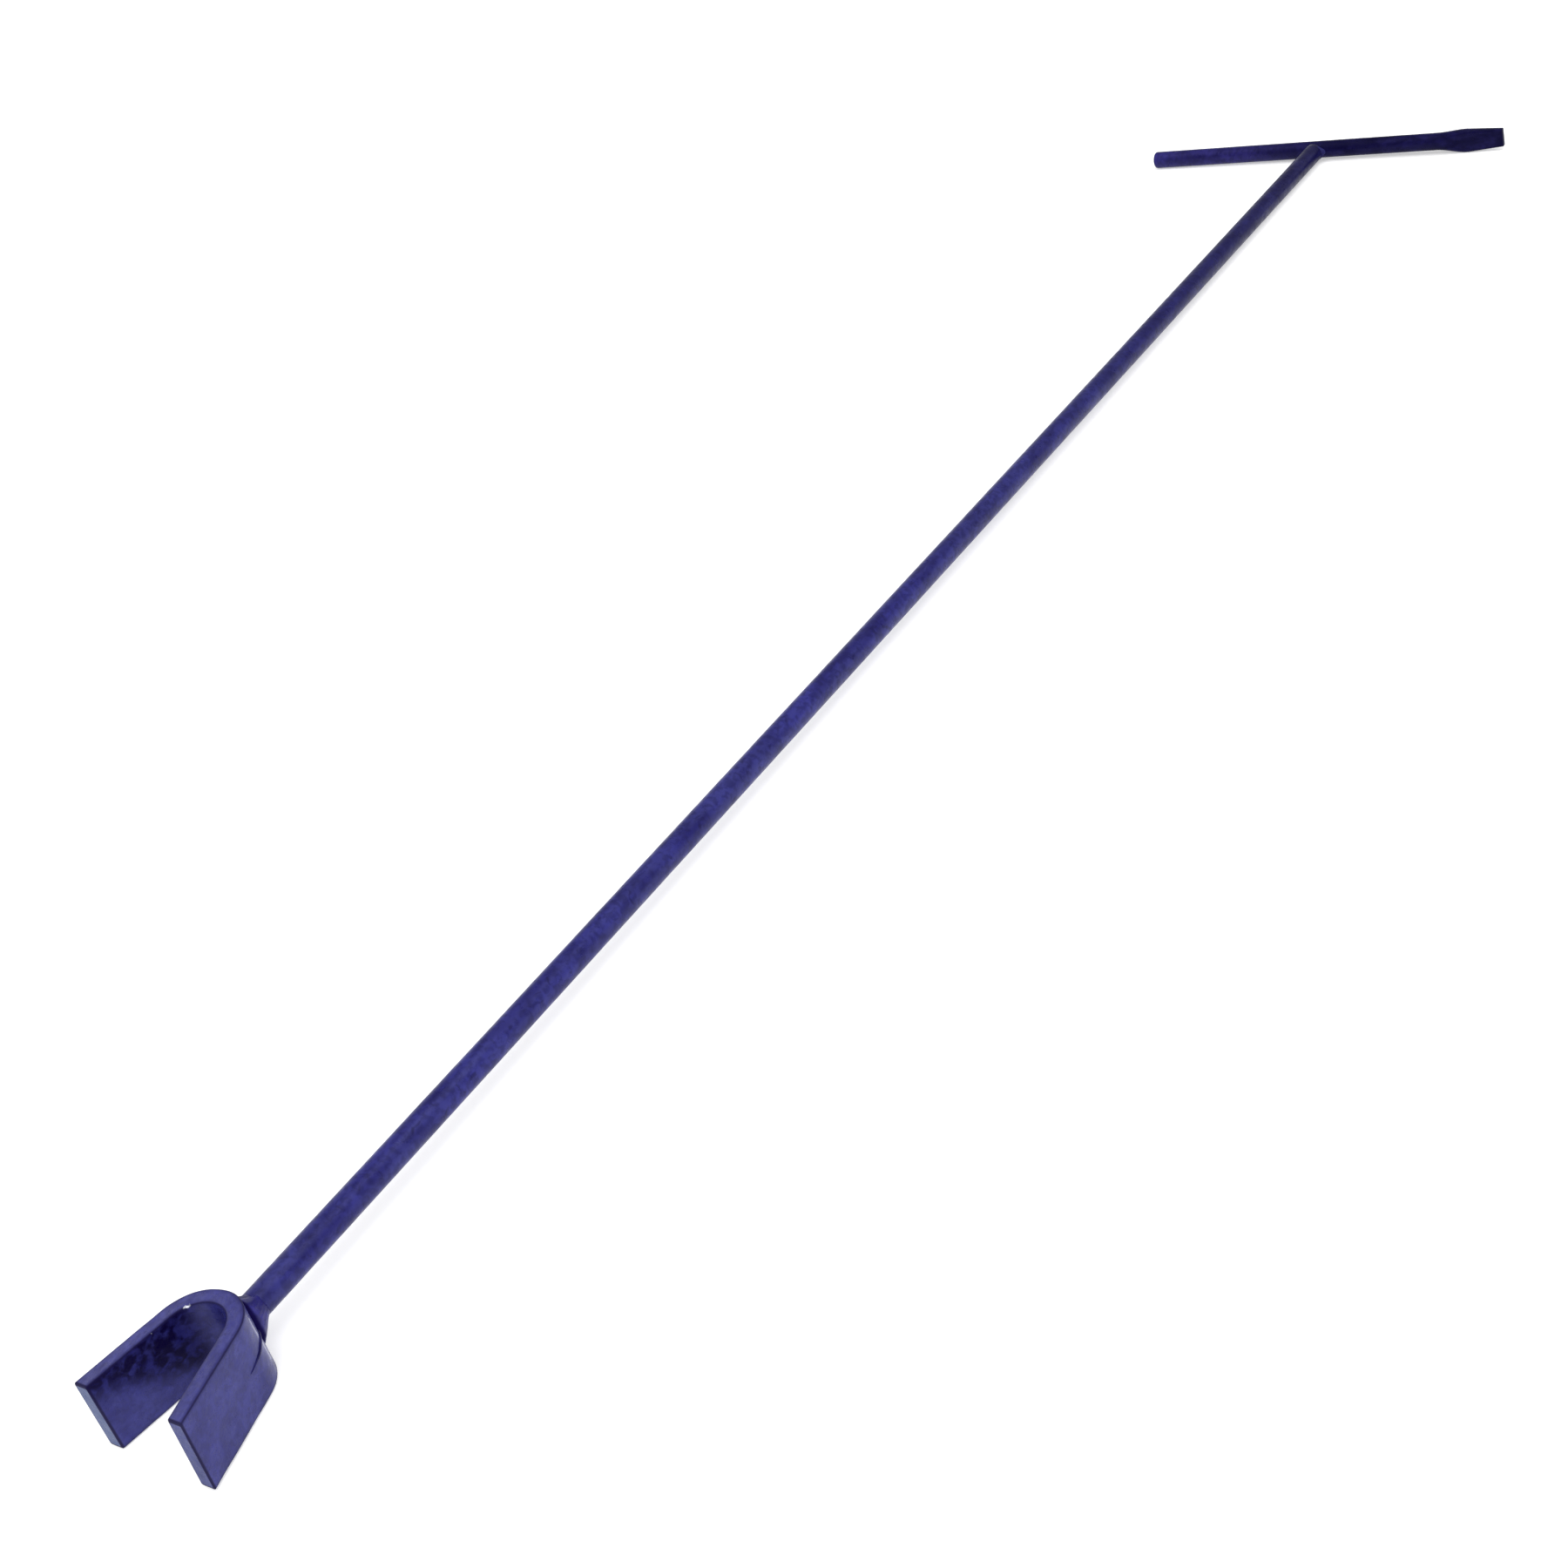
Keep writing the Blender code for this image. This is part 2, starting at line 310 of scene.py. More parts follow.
# the fork: a flat bar bent to a U, its arms splayed and their ends sawn nearly square to the shank
fork = {
    "width": 0.0422,
    "thickness": 0.009,
    "innerRadius": 0.017,
    "leftDepth": 0.0702,
    "rightDepth": 0.0717,
    "rightEndSkewDeg": 2.0,
    "leftSplayDeg": 10.6,
    "rightSplayDeg": 14.7,
    "edgeRound": 0.0009,
    "endRound": 0.0007,  # how far the sawn end is broken
    "cornerRound": 0.0013,  # how far its corners are broken across the bar
    "dentDepth": 0.00022,
    "dentSize": 0.011,
    "armSteps": 34,
    "endSteps": 4,
    "sawnRings": ((0.35, 0.35), (0.80, 0.92)),  # rings on a sawn face, as shares of the bar's size
    "bendSteps": 140,
    "wideSteps": 28,
    "thickSteps": 5,
    "cornerSteps": 4,
    "darkEdge": 0.0012,  # how far from an edge the painted shade reaches
    "edgeBoost": 1.4,
    "endPaint": 0.02,  # share of each arm's length, at its end, that the painted edge shade takes in
    "lip": 0.0013,  # how far round the inner edges the painted shadow inside reaches
}
fork["outerRadius"] = fork["innerRadius"] + fork["thickness"]

forkLook = {
    **enamelFinish,
    "thick": (0.018, 0.018, 0.140),
    "thin": (0.030, 0.031, 0.195),
    "cloudSize": 0.012,
    "grain": (0.8, 1, 1),
    "streak": (0.042, 0.044, 0.195),
    "streakSize": 0.010,
    "streakGrain": (1, 1, 0.35),
    "streakShare": 0.35,
    "speck": (0.006, 0.004, 0.060),
    "speckSize": 0.005,
    "speckRange": (0.58, 0.74),
    "speckShare": 0.35,
    "mottleSize": 0.0036,
    "mottleShare": 0.32,
    "roughness": (0.24, 0.38),
    "sagDepth": 0.00030,
    "specular": 0.24,
    "mattSpecular": 0.08,  # the painted shadow inside and the sawn ends are less glossy
    "insideShadow": (0.0026, 0.0009, 0.027),  # painted shadow, black-blue, up inside the left arm
    "insideShadowSize": 0.0050,
    "insideShadowRange": (0.38, 0.60, 0.36, 1.0),  # where its patches start and end, and how strong each is
    # painted shade: dark rims along the bar's edges and over the arms' ends
    "edge": (0.004, 0.002, 0.035),
    "edgeShare": 0.95,
    "edgeRoughness": 0.75,
    "sawn": (0.058, 0.086, 0.205),
    "sawnShares": (0.88, 0.30),  # how much sawn steel shows at the left and the right arm's end
    # painted highlight: near-white glints on the front inner edge
    "chipGlint": (0.80, 0.82, 0.90),
    # painted highlight: a paler, glossier sheen over the bend's right shoulder
    "paintedSheen": (0.16, 0.165, 0.34),
    "sheenRoughness": 0.08,
    "raggedSize": 0.0014,  # how ragged the painted glints and the painted highlight patches are
    "raggedRange": (0.85, 1.25),
    # painted glints, shaped as bright chips, on the front inner edge: along, across, length and width
    # in metres, strength
    "chipGlints": ((1.18, -0.0207, 0.0034, 0.0010, 0.85), (0.775, -0.0204, 0.0014, 0.0009, 0.70)),
    # painted highlight patches, paler and glossier, over the bend's right shoulder: along, from and to
    # across, half width
    "sheenPatches": ((1.806, -0.0140, -0.0050, 0.0022), (1.790, 0.0030, 0.0110, 0.0026)),
}

# where the painted shadow lies inside the left arm: across the bar in metres, along from 0 to 3
insideShadowPatch = {
    "acrossAtEnd": -0.0115,
    "acrossGain": 0.0260,  # it reaches this much further across at the bend
    "gainAlong": 0.9,
    "acrossFade": 0.018,
    "bendStart": 1.34,
    "bendFade": 0.30,
    "pastBend": 0.30,
    "lastAlong": 2.1,
    "lastFade": 0.4,
}


def forkPoint(along, radius, y):
    # along: 0 to 1 up the left arm, 1 to 2 round the bend, 2 to 3 down the right arm
    leftSplay = math.radians(fork["leftSplayDeg"])
    rightSplay = math.radians(fork["rightSplayDeg"])
    start = math.pi - leftSplay
    angle = start + (rightSplay - start) * min(max(along - 1, 0), 1)
    x = radius * math.cos(angle)
    z = radius * math.sin(angle) - fork["outerRadius"]
    if along < 1:
        drop = (z + fork["leftDepth"]) * (1 - along)
        return Vector((x - drop * math.tan(leftSplay), y, z - drop))
    if along > 2:
        depth = fork["rightDepth"] + y * math.tan(math.radians(fork["rightEndSkewDeg"]))
        drop = (z + depth) * (along - 2)
        return Vector((x + drop * math.tan(rightSplay), y, z - drop))
    return Vector((x, y, z))


def barSection():
    # (offset through the bar, offset across it) round the bar's rounded section
    halfThick, halfWide = fork["thickness"] / 2, fork["width"] / 2
    corner = fork["edgeRound"]
    arcs = []
    for side, face, start in ((1, 1, 0), (-1, 1, 90), (-1, -1, 180), (1, -1, 270)):
        arc = []
        for step in range(fork["cornerSteps"] + 1):
            angle = math.radians(start + 90 * step / fork["cornerSteps"])
            through = side * (halfThick - corner) + corner * math.cos(angle)
            arc.append((through, face * (halfWide - corner) + corner * math.sin(angle)))
        arcs.append(arc)
    ring = []
    spans = (fork["thickSteps"], fork["wideSteps"]) * 2
    for index, (arc, steps) in enumerate(zip(arcs, spans)):
        ring += arc
        last, first = arc[-1], arcs[(index + 1) % 4][0]
        for step in range(1, steps):
            share = step / steps
            ring.append(tuple(a + (b - a) * share for a, b in zip(last, first)))
    return ring


def forkStations():
    # (along, shrink through the bar, shrink across it, on the sawn face?)
    halfThick, halfWide = fork["thickness"] / 2, fork["width"] / 2
    armLength = fork["leftDepth"] - fork["outerRadius"]
    ends = [(0.0, *shares, 1) for shares in fork["sawnRings"]]
    for step in range(fork["endSteps"], -1, -1):
        angle = math.radians(90 * step / fork["endSteps"])
        inset = 1 - math.cos(angle)
        along = fork["endRound"] * (1 - math.sin(angle)) / armLength
        through = 1 - fork["endRound"] * inset / halfThick
        across = 1 - fork["cornerRound"] * inset / halfWide
        ends.append((along, through, across, 0))
    arm = [(step / fork["armSteps"], 1, 1, 0) for step in range(1, fork["armSteps"])]
    bend = [(1 + step / fork["bendSteps"], 1, 1, 0) for step in range(fork["bendSteps"] + 1)]
    left = ends + arm
    right = [(3 - along, *rest) for along, *rest in reversed(left)]
    return left + bend + right


def makeForkPaint():
    paint, shader, colour = enamel("forkPaint", forkLook)
    tree = paint.node_tree
    # painted shadow up inside the left arm, in dark patches
    blotches = patches(tree, forkLook["insideShadowSize"], (1, 1, 1), 6.0, 0.5)
    blotches = ramp(tree, blotches, *forkLook["insideShadowRange"])
    shadowShare = reckon(tree, "MULTIPLY", maskValue(tree, "insideShadow"), blotches)
    colour = blendColour(tree, shadowShare, colour, forkLook["insideShadow"])
    colour = blendColour(tree, maskValue(tree, "sawn"), colour, forkLook["sawn"])
    # painted shade along the edges, darker and rougher
    edge = reckon(tree, "MULTIPLY", maskValue(tree, "edge"), forkLook["edgeShare"])
    colour = blendColour(tree, edge, colour, forkLook["edge"])
    # painted glints and painted highlight patches, with ragged rims
    ragged = patches(tree, forkLook["raggedSize"], (1, 1, 1), 3.0)
    highlights = {}
    for maskName in ("paintedSheen", "chipGlint"):
        torn = reckon(tree, "ADD", maskValue(tree, maskName), ragged)
        highlights[maskName] = ramp(tree, torn, *forkLook["raggedRange"])
        colour = blendColour(tree, highlights[maskName], colour, forkLook[maskName])
    feed(tree, colour, shader.inputs["Base Color"])
    shine = blendNumber(tree, maskValue(tree, "matt"), forkLook["specular"], forkLook["mattSpecular"])
    feed(tree, shine, shader.inputs["Specular IOR Level"])
    gloss = shader.inputs["Roughness"].links[0].from_socket
    gloss = blendNumber(tree, edge, gloss, forkLook["edgeRoughness"])
    gloss = blendNumber(tree, highlights["paintedSheen"], gloss, forkLook["sheenRoughness"])
    feed(tree, gloss, shader.inputs["Roughness"])
    return paint


def insideShadowShare(along, y):
    # the painted shadow on the left arm's inner face reaches further across it towards the bend
    patch = insideShadowPatch
    reach = patch["acrossAtEnd"] + patch["acrossGain"] * eased(along * patch["gainAlong"])
    bend = eased((patch["bendStart"] - along) / patch["bendFade"])
    past = patch["pastBend"] + (1 - patch["pastBend"]) * bend
    last = eased((patch["lastAlong"] - along) / patch["lastFade"])
    return eased((reach - y) / patch["acrossFade"] + 0.5) * past * last


def chipGlintShare(along, y):
    strongest = 0
    for spot, across, length, width, strength in forkLook["chipGlints"]:
        alongMetres = (along - spot) * (fork["leftDepth"] - fork["outerRadius"])
        far = math.hypot(alongMetres / length, (y - across) / width)
        strongest = max(strongest, strength * (1 - far))
    return strongest


def sheenShare(along, y):
    strongest = 0
    bendLength = fork["outerRadius"] * math.radians(180 - fork["leftSplayDeg"] - fork["rightSplayDeg"])
    for spot, start, end, half in forkLook["sheenPatches"]:
        off = abs(along - spot) * bendLength / half
        over = max(start - y, y - end, 0) / (2 * half)
        strongest = max(strongest, 1 - math.hypot(off, over))
    return strongest


def makeFork():
    halfThick, halfWide = fork["thickness"] / 2, fork["width"] / 2
    middleRadius = fork["innerRadius"] + halfThick
    section = barSection()
    rings = []
    masks = {name: [] for name in ("edge", "insideShadow", "matt", "sawn", "chipGlint", "paintedSheen")}
    for along, shrinkThrough, shrinkAcross, onSawn in forkStations():
        ring = []
        for through, across in section:
            u, y = through * shrinkThrough, across * shrinkAcross
            spot = forkPoint(along, middleRadius + u, y)
            dent = fork["dentDepth"] * dentShare(spot, fork["dentSize"])
            u *= 1 - dent / halfThick
            y *= 1 - dent / halfWide
            ring.append(forkPoint(along, middleRadius + u, y))
            # painted shade near the edges and over the arms' ends
            fromEdge = max(halfThick - abs(through), halfWide - abs(across))
            atEnd = 1 if min(along, 3 - along) < fork["endPaint"] else 0
            inner = eased(-through / halfThick)
            lip = eased((fork["lip"] - through - halfThick) / fork["lip"])
            outer = eased(through / halfThick)
            nearEdge = fork["edgeBoost"] * (1 - fromEdge / fork["darkEdge"])
            masks["edge"].append(0 if onSawn else min(max(atEnd, nearEdge, 0), 1))
            # painted shadow inside the left arm, round its inner lip
            masks["insideShadow"].append(lip * insideShadowShare(along, y))
            masks["matt"].append(1 if onSawn else masks["insideShadow"][-1])
            masks["sawn"].append(onSawn * forkLook["sawnShares"][0 if along < 1 else 1])
            # painted glints on the front inner edge
            masks["chipGlint"].append(inner * chipGlintShare(along, y))
            # painted highlight patches over the bend's right shoulder
            masks["paintedSheen"].append(outer * sheenShare(along, y))
        rings.append(ring)
    piece = loftPiece("paintedFork", rings, masks)
    place(piece, makeForkPaint(), "jaw")


makeFork()

# the handle: a thin round bar across the shank's head, hammered flat at one end
handle = {
    "radius": 0.00735,
    "height": 1.44895,
    "plainSide": 0.156,
    "flatSide": 0.1665,
    "flatLength": 0.058,
    "bellyToTip": 0.031,
    "belly": (0.00075, 0.00985, 0.00425, 0.0030),  # shift down, half width and thickness, corner
    "tip": (0, 0.0077, 0.0025, 0.0012),
    "leastCorner": 0.0004,
    "endRound": 0.0016,
    "tipRound": 0.0006,
    "hammerDepth": 0.00035,
    "hammerSize": 0.008,
    "rollMark": 0.00006,
    "rollSize": 0.006,
    "stations": 150,
    "endSteps": 5,
    "sides": 18,  # points in each quarter of the section
}

handleLook = {
    **shankLook,
    # painted shade: the handle is painted darker than the shank
    "thick": (0.008, 0.006, 0.064),
    "thin": (0.020, 0.016, 0.135),
    "grain": (1, 0.45, 1),
    "streak": (0.030, 0.026, 0.150),
    "streakGrain": (1, 0.10, 1),
    "streakShare": 0.40,
    "specular": 0.12,
    "mattSpecular": 0.04,
    "paintedShade": (0.0010, 0.0005, 0.017),  # painted shade, darker towards the flattened end
    "shadeFrom": -0.15,
    "shadeTo": 0.05,
    "shadeShare": 0.92,
}


def handleSize(x):
    # shift to the floor, half width, half thickness and corner of the section at x
    whole = (0, *(handle["radius"],) * 3)
    flareStart = handle["flatSide"] - handle["flatLength"]
    belly = handle["flatSide"] - handle["bellyToTip"]
    if x < belly:
        share = eased((x - flareStart) / (belly - flareStart))
        return [a + (b - a) * share for a, b in zip(whole, handle["belly"])]
    share = (x - belly) / handle["bellyToTip"]
    return [a + (b - a) * share for a, b in zip(handle["belly"], handle["tip"])]


def handleStations():
    # (x, inset) from the plain end to the tip
    stations = []
    for step in range(handle["endSteps"] + 1):
        angle = math.radians(90 * step / handle["endSteps"])
        depth = handle["endRound"] * (1 - math.sin(angle))
        stations.append((depth, handle["endRound"] * (1 - math.cos(angle))))
    plain = [(depth - handle["plainSide"], inset) for depth, inset in reversed(stations)]
    scale = handle["tipRound"] / handle["endRound"]
    tip = [(handle["flatSide"] - depth * scale, inset * scale) for depth, inset in stations]
    first, last = plain[-1][0], tip[0][0]
    count = handle["stations"]
    middle = [(first + (last - first) * step / count, 0) for step in range(1, count)]
    return plain + middle + tip


def makeHandle():
    rings, paintedShade = [], []
    flareStart = handle["flatSide"] - handle["flatLength"]
    for x, inset in handleStations():
        shift, wide, thick, corner = handleSize(x)
        wide, thick = wide - inset, thick - inset
        corner = max(corner - inset, handle["leastCorner"])
        hammered = eased((x - flareStart) / handle["bellyToTip"])
        ring = []
        for step in range(4 * handle["sides"]):
            angle = math.tau * (step + 0.5) / (4 * handle["sides"])
            across, up = math.cos(angle), math.sin(angle)
            y = math.copysign(wide - corner, across) + corner * across
            z = math.copysign(thick - corner, up) + corner * up
            spot = (x, y, z)
            dent = handle["rollMark"] * dentShare(spot, handle["rollSize"])
            blow = handle["hammerDepth"] * hammered * max(unevenness(spot, handle["hammerSize"]), 0)
            z *= 1 - (dent + blow) / thick
            y *= 1 - dent / wide
            ring.append((shank["offset"] + x, shift + y, handle["height"] + z))
        rings.append(ring)
        fade = (x - handleLook["shadeFrom"]) / (handleLook["shadeTo"] - handleLook["shadeFrom"])
        paintedShade += [eased(fade)] * len(ring)
    piece = loftPiece("paintedHandle", rings, {"paintedShade": paintedShade})
    place(piece, barPaint("handlePaint", handleLook), "handle_bar")


makeHandle()

# the welds: painted beads round the shank's foot and head
footWeld = {
    "rise": 0.0108,
    "reach": 0.0081,
    "hollow": 1.6,  # how sharply the bare fillet falls away from the shank
    "belly": 0.0013,  # how far the bead bulges over it
    "bellyPlace": 1.4,
    "toe": 0.0007,
    "toeThin": 0.5,  # share of the toe's thickness that it loses at its edge
    "trim": 0.0003,  # kept back from the full size, so that lumps stay inside it
    "ripples": 24,
    "rippleDepth": 0.00022,
    "rippleSway": 1.6,  # how unevenly the ripples follow each other
    "rippleCurve": 2.6,  # how far each ripple is swept back across the bead
    "swaySize": 0.004,
    "lumpDepth": 0.0009,
    "lumpSize": 0.0065,
    "lumpOut": 0.6,  # share of a lump that shows in the reach
    "lumpRadius": 0.014,
    "leanDeg": 227,  # the bead is smaller on this side of the shank
    "lean": (0.30, 0.38),  # share that its rise and its reach lose there
    "toeShadeDeg": -60,  # painted shade lies along the toe here, and over the smaller side
    "toeShadeFrom": 0.3,
    "toeShadeFade": 0.6,
    "toeStart": 0.74,  # share of the reach where the painted toe shade starts
    "toeFade": 0.16,
    "leanFade": 0.3,
    "steps": 280,
    "profileSteps": 18,
}

headWeld = {
    "drop": 0.0022,  # down the shank's side
    "reach": 0.0030,  # out along the bar
    "climbDeg": 40,  # up round the bar's sides
    "dropAtSides": 0.35,  # share of the drop under the bar, against beside it
    "innerShare": 0.8,  # of the shank's radius, for the bead's hidden inner side
    "crown": 0.0003,
    "ripples": 22,
    "rippleCurve": 2.0,
    "rippleDepth": 0.00018,
    "lumpDepth": 0.0005,
    "lumpSize": 0.005,
    "lumpRadius": 0.010,
    "lumpHeight": 3,  # in those radii, so that its lumps differ from the foot bead's
    "steps": 200,
    "profileSteps": 12,
}

weldSunk = 0.0004  # the beads bite this far into both bars

weldLook = {
    **forkLook,
    "thick": (0.009, 0.007, 0.098),
    "thin": (0.022, 0.018, 0.185),
    "specular": 0.10,
    "cloudSize": 0.007,
    "speckSize": 0.003,
    "peelDepth": 0.00004,
    "sagDepth": 0.00015,
    "toeShadeShare": 0.92,  # painted shade along a bead's toe
}
# painted shade: the head bead is painted far darker than the foot bead
headWeldShadeLook = {**weldLook, "thick": (0.002, 0.001, 0.036), "thin": (0.006, 0.004, 0.070)}
# painted shade: the run is painted near black
runShadeLook = {
    **weldLook,
    "thick": (0.002, 0.001, 0.022),
    "thin": (0.006, 0.004, 0.048),
    "specular": 0.05,
}


def makeFootWeldPaint():
    # the foot bead's enamel, with painted shade, dark and matt, where the toe mask is high
    paint, shader, colour = enamel("footWeldPaint", weldLook)
    tree = paint.node_tree
    share = reckon(tree, "MULTIPLY", maskValue(tree, "toe"), weldLook["toeShadeShare"])
    feed(tree, blendColour(tree, share, colour, weldLook["edge"]), shader.inputs["Base Color"])
    gloss = shader.inputs["Roughness"].links[0].from_socket
    gloss = blendNumber(tree, share, gloss, weldLook["edgeRoughness"])
    feed(tree, gloss, shader.inputs["Roughness"])
    shine = blendNumber(tree, share, weldLook["specular"], 0.0)
    feed(tree, shine, shader.inputs["Specular IOR Level"])
    return paint


def onFork(x):
    # height of the fork's outer bend at x
    return math.sqrt(max(fork["outerRadius"] ** 2 - x * x, 0)) - fork["outerRadius"]


def footWeldRing(angle, reach, rise, swayed):
    # one cut through the bead, from the shank out to its toe and back underneath
    ring = []
    for part in range(footWeld["profileSteps"] + 1):
        share = part / footWeld["profileSteps"]
        radius = shank["radius"] + reach * share
        x = shank["offset"] + radius * math.cos(angle)
        ground = onFork(x)
        across = math.sin(math.pi * share)
        height = rise * (1 - share) ** footWeld["hollow"]
        height += footWeld["belly"] * math.sin(math.pi * share ** footWeld["bellyPlace"])
        height += (ground + footWeld["toe"]) * share
        height = max(height, ground + footWeld["toe"] * (1 - footWeld["toeThin"] * share))
        swing = swayed - footWeld["rippleCurve"] * across
        height += footWeld["rippleDepth"] * (1 - abs(math.sin(swing / 2))) * across
        ring.append((x, radius * math.sin(angle), height))
    outer = shank["radius"] + reach
    xOuter = shank["offset"] + outer * math.cos(angle)
    ring.append((xOuter, outer * math.sin(angle), onFork(xOuter) - weldSunk))
    inner = shank["radius"] - weldSunk
    xInner = shank["offset"] + inner * math.cos(angle)
    ring.append((xInner, inner * math.sin(angle), onFork(xInner) - weldSunk))
    ring.append((xInner, inner * math.sin(angle), rise))
    return ring


def makeFootWeld():
    rings, toe = [], []
    for step in range(footWeld["steps"]):
        angle = math.tau * step / footWeld["steps"]
        spot = Vector((math.cos(angle), math.sin(angle), 0)) * footWeld["lumpRadius"]
        lump = footWeld["lumpDepth"] * unevenness(spot, footWeld["lumpSize"])
        sway = footWeld["rippleSway"] * unevenness(spot, footWeld["swaySize"])
        lean = max(math.cos(angle - math.radians(footWeld["leanDeg"])), 0) ** 2
        rise = footWeld["rise"] + lump - footWeld["trim"]
        rise *= 1 - footWeld["lean"][0] * lean
        reach = footWeld["reach"] + footWeld["lumpOut"] * lump - footWeld["trim"]
        reach *= 1 - footWeld["lean"][1] * lean
        rings.append(footWeldRing(angle, reach, rise, footWeld["ripples"] * angle + sway))
        # painted shade along the toe and over the bead's smaller side
        toward = math.cos(angle - math.radians(footWeld["toeShadeDeg"]))
        toeShading = eased((toward + footWeld["toeShadeFrom"]) / footWeld["toeShadeFade"])
        for part in range(footWeld["profileSteps"] + 1):
            share = part / footWeld["profileSteps"]
            nearToe = eased((share - footWeld["toeStart"]) / footWeld["toeFade"])
            toe.append(max(toeShading * nearToe, lean * eased(share / footWeld["leanFade"])))
        toe += [max(toeShading, lean), 0, 0]
    piece = loftPiece("footWeldBead", rings, {"toe": toe}, closedPath=True)
    place(piece, makeFootWeldPaint(), "foot_weld")


makeFootWeld()


def makeHeadWeld():
    rings = []
    top = shank["head"]
    for step in range(headWeld["steps"]):
        angle = math.tau * step / headWeld["steps"]
        outward = Vector((math.cos(angle), math.sin(angle), 0))
        spot = (outward + Vector((0, 0, headWeld["lumpHeight"]))) * headWeld["lumpRadius"]
        lump = headWeld["lumpDepth"] * unevenness(spot, headWeld["lumpSize"])
        climb = math.radians(headWeld["climbDeg"]) * math.sin(angle)
        sides = headWeld["dropAtSides"]
        drop = headWeld["drop"] * (sides + (1 - sides) * abs(math.cos(angle)))
        low = outward * shank["radius"] + Vector((0, 0, top - drop + lump))
        high = Vector((
            (shank["radius"] + headWeld["reach"] + lump) * math.cos(angle),
            handle["radius"] * math.sin(climb),
            handle["height"] - handle["radius"] * math.cos(climb),
        ))
        ring = []
        for part in range(headWeld["profileSteps"] + 1):
            share = part / headWeld["profileSteps"]
            swing = headWeld["ripples"] * angle + headWeld["rippleCurve"] * share
            bulge = headWeld["crown"] + headWeld["rippleDepth"] * math.cos(swing)
            point = low.lerp(high, share) + outward * bulge * math.sin(math.pi * share)
            ring.append(point)
        inward = -outward * weldSunk
        inner = headWeld["innerShare"] * shank["radius"]
        ring.append(high + inward + Vector((0, 0, weldSunk)))
        ring.append(outward * inner + Vector((0, 0, top - weldSunk)))
        ring.append(low + inward)
        rings.append([point + Vector((shank["offset"], 0, 0)) for point in ring])
    piece = loftPiece("headWeldBead", rings, closedPath=True)
    place(piece, enamel("headWeldShadePaint", headWeldShadeLook)[0], "head_weld")


makeHeadWeld()

# a run of paint from the weld down the right arm's outer face; its near-black colour is painted shade
paintRun = {
    "startAlong": 1.71,
    "endAlong": 2.09,
    "startAcross": -0.0022,
    "endAcross": 0.0014,
    "halfWidth": 0.00165,
    "height": 0.00110,
    "sunk": 0.0001,
    "taper": 0.75,  # how much thinner it is at its lower end
    "blunt": 0.35,  # how bluntly both ends close
    "firstShare": 0.02,
    "lastShare": 0.98,
    "sway": 0.0004,
    "sways": 4,
    "steps": 60,
    "sides": 12,
}


def makePaintRun():
    rings = []
    for step in range(paintRun["steps"] + 1):
        share = step / paintRun["steps"]
        along = paintRun["startAlong"] + (paintRun["endAlong"] - paintRun["startAlong"]) * share
        closed = paintRun["firstShare"] + (paintRun["lastShare"] - paintRun["firstShare"]) * share
        size = (1 - paintRun["taper"] * share) * math.sin(math.pi * closed) ** paintRun["blunt"]
        sway = paintRun["startAcross"] + (paintRun["endAcross"] - paintRun["startAcross"]) * share
        sway += paintRun["sway"] * unevenness((share * paintRun["sways"], 0, 0), 1)
        ring = []
        for side in range(paintRun["sides"]):
            angle = math.tau * side / paintRun["sides"]
            up = paintRun["height"] * size * math.sin(angle)
            across = paintRun["halfWidth"] * size * math.cos(angle)
            radius = fork["outerRadius"] - paintRun["sunk"] + up
            ring.append(forkPoint(along, radius, sway + across))
        rings.append(ring)
    piece = loftPiece("paintRun", rings)
    place(piece, enamel("runShadePaint", runShadeLook)[0])


makePaintRun()

# the floor, the light and the camera
studio = {
    "floorHalf": 40.0,
    "floorColour": (0.75, 0.75, 0.75),
    "floorRoughness": 0.9,
    "floorGlow": 0.42,  # lit from below too, so that shadows stay faint
    "skyLow": 0.9,  # world brightness at the horizon
    "skyHigh": 0.36,  # and overhead
    "skyFadeTo": 0.5,  # sine of the height where it is dimmest
    "cameraPlace": (-1.1035, -0.7652, 0.7205),
    "cameraTurnDeg": (57.103, 14.441, -58.704),
    "cameraLens": 51.48,
}

sunlight = {"from": (-0.22, -0.36, 1.0), "strength": 2.7, "spreadDeg": 85}

# name, place, point aimed at, side in metres, watts
softBoxes = (
    ("mainSoftBox", (-1.9, -0.6, 1.9), (-0.6, 0.0, 0.0), 1.2, 4.0),
    ("sideSoftBox", (-0.4, 1.9, 1.3), (-0.1, 0.0, 0.0), 1.4, 12.0),
)


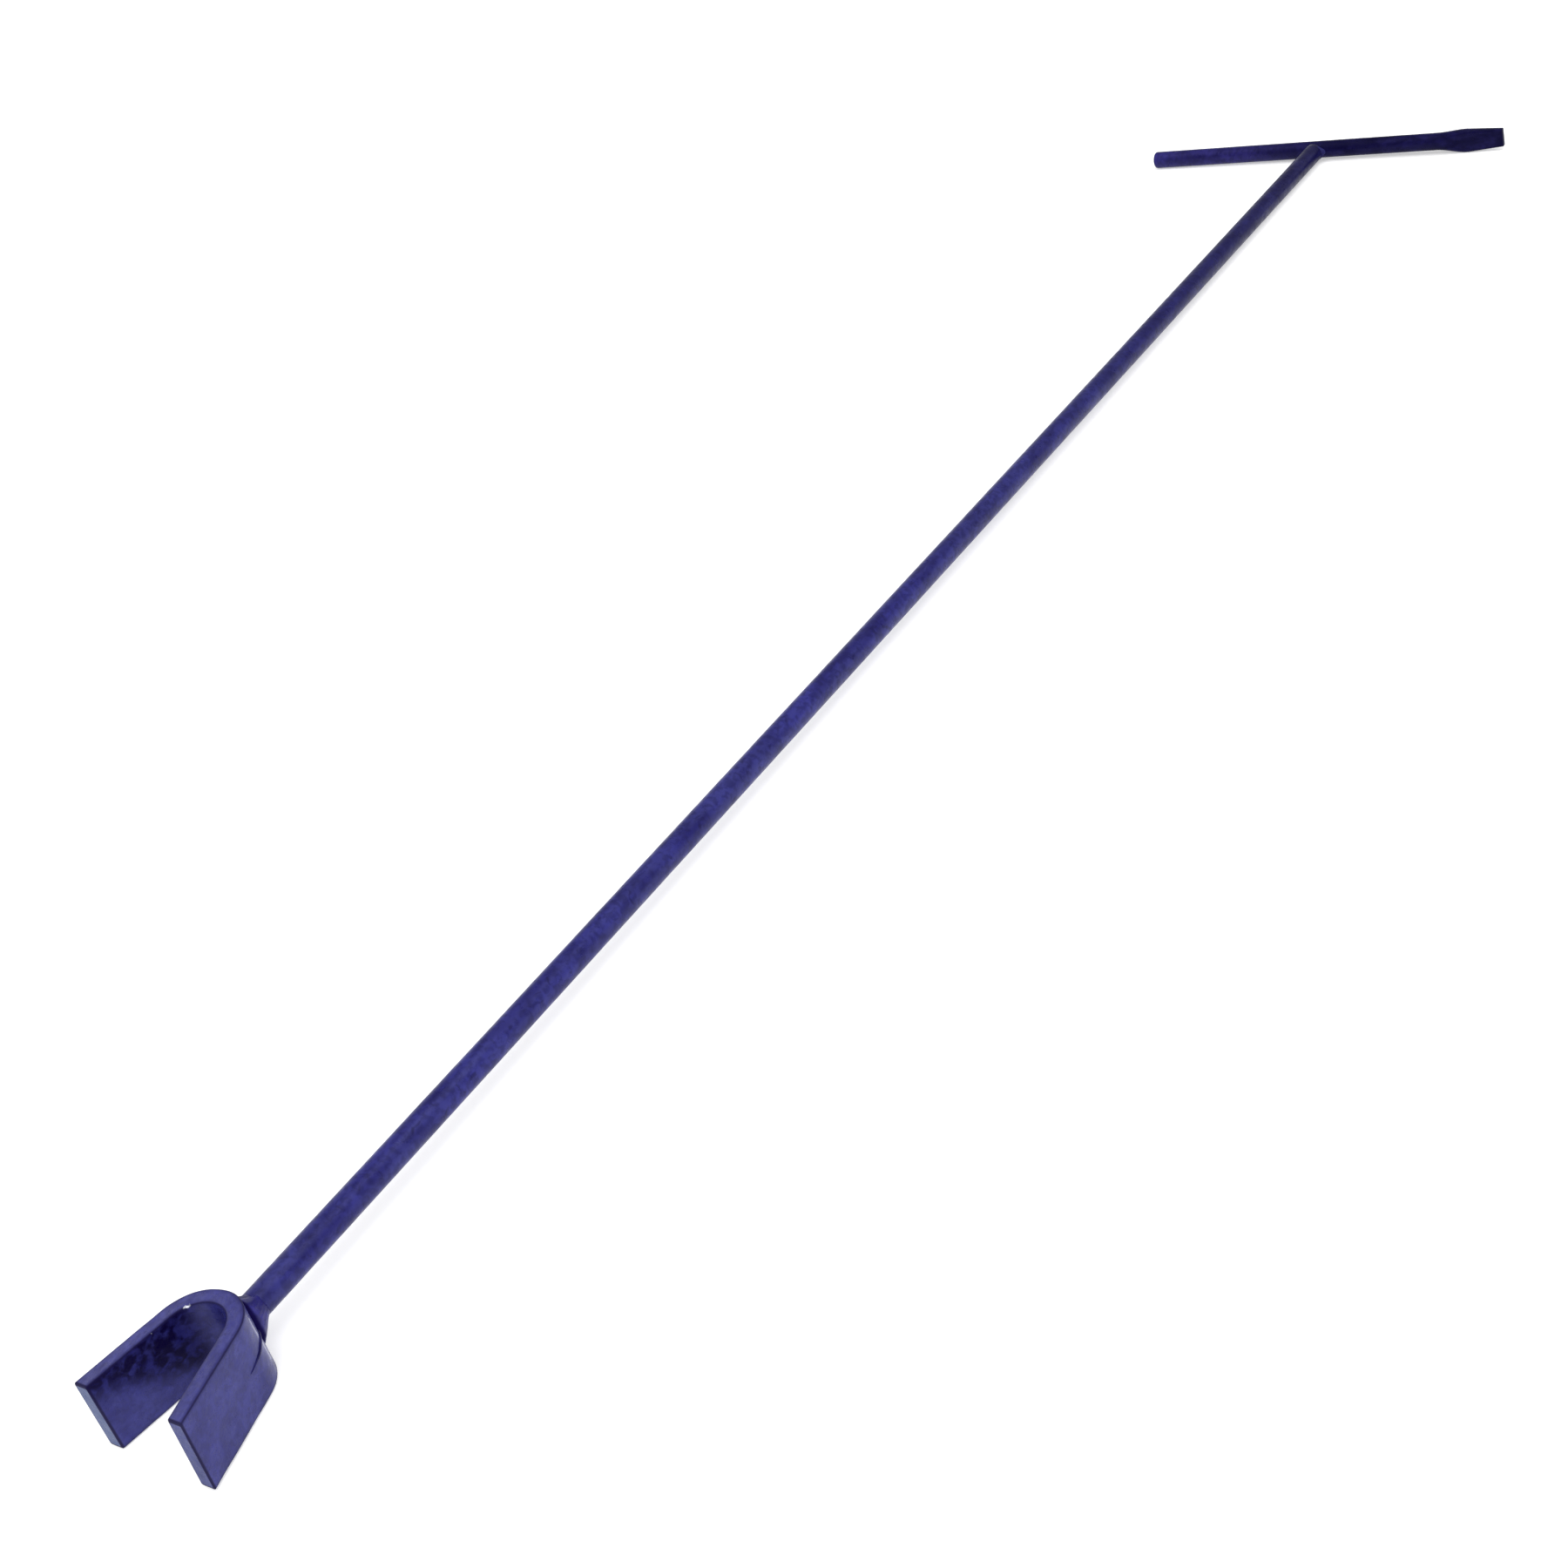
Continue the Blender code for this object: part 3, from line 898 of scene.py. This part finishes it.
def makeFloor():
    shape = bmesh.new()
    bmesh.ops.create_grid(shape, x_segments=1, y_segments=1, size=studio["floorHalf"])
    mesh = bpy.data.meshes.new("floor")
    shape.to_mesh(mesh)
    shape.free()
    floor = bpy.data.objects.new("floor", mesh)
    bpy.context.scene.collection.objects.link(floor)
    paper = bpy.data.materials.new("floorPaper")
    paper.use_nodes = True
    shader = paper.node_tree.nodes["Principled BSDF"]
    shader.inputs["Base Color"].default_value = (*studio["floorColour"], 1)
    shader.inputs["Roughness"].default_value = studio["floorRoughness"]
    shader.inputs["Specular IOR Level"].default_value = 0.0
    shader.inputs["Emission Color"].default_value = (1, 1, 1, 1)
    shader.inputs["Emission Strength"].default_value = studio["floorGlow"]
    mesh.materials.append(paper)


def makeWorld():
    # white at the horizon, dimmer overhead, as in a light tent with an open top
    world = bpy.data.worlds.new("studioWorld")
    bpy.context.scene.world = world
    world.use_nodes = True
    tree = world.node_tree
    where = tree.nodes.new("ShaderNodeTexCoord")
    split = tree.nodes.new("ShaderNodeSeparateXYZ")
    tree.links.new(where.outputs["Generated"], split.inputs[0])
    glow = ramp(tree, split.outputs["Z"], 0.0, studio["skyFadeTo"], studio["skyLow"], studio["skyHigh"])
    background = tree.nodes["Background"]
    background.inputs["Color"].default_value = (1, 1, 1, 1)
    tree.links.new(glow, background.inputs["Strength"])


def addLamp(name, kind, spot, aim):
    lamp = bpy.data.lights.new(name, kind)
    lampObject = bpy.data.objects.new(name, lamp)
    bpy.context.scene.collection.objects.link(lampObject)
    lampObject.location = spot
    lampObject.rotation_euler = (Vector(aim) - Vector(spot)).to_track_quat("-Z", "Y").to_euler()
    return lamp


def makeLights():
    sun = addLamp("softSun", "SUN", sunlight["from"], (0, 0, 0))
    sun.energy = sunlight["strength"]
    sun.angle = math.radians(sunlight["spreadDeg"])
    for name, spot, aim, side, watts in softBoxes:
        lamp = addLamp(name, "AREA", spot, aim)
        lamp.shape = "SQUARE"
        lamp.size = side
        lamp.energy = watts


def makeCamera():
    lens = bpy.data.cameras.new("camera")
    lens.lens = studio["cameraLens"]
    lens.sensor_width = 36
    lens.clip_end = 200
    camera = bpy.data.objects.new("camera", lens)
    bpy.context.scene.collection.objects.link(camera)
    camera.location = studio["cameraPlace"]
    camera.rotation_euler = [math.radians(turn) for turn in studio["cameraTurnDeg"]]
    bpy.context.scene.camera = camera


makeFloor()
makeWorld()
makeLights()
makeCamera()
bpy.context.scene.view_settings.view_transform = "Standard"
print("floor, light and camera are in place")
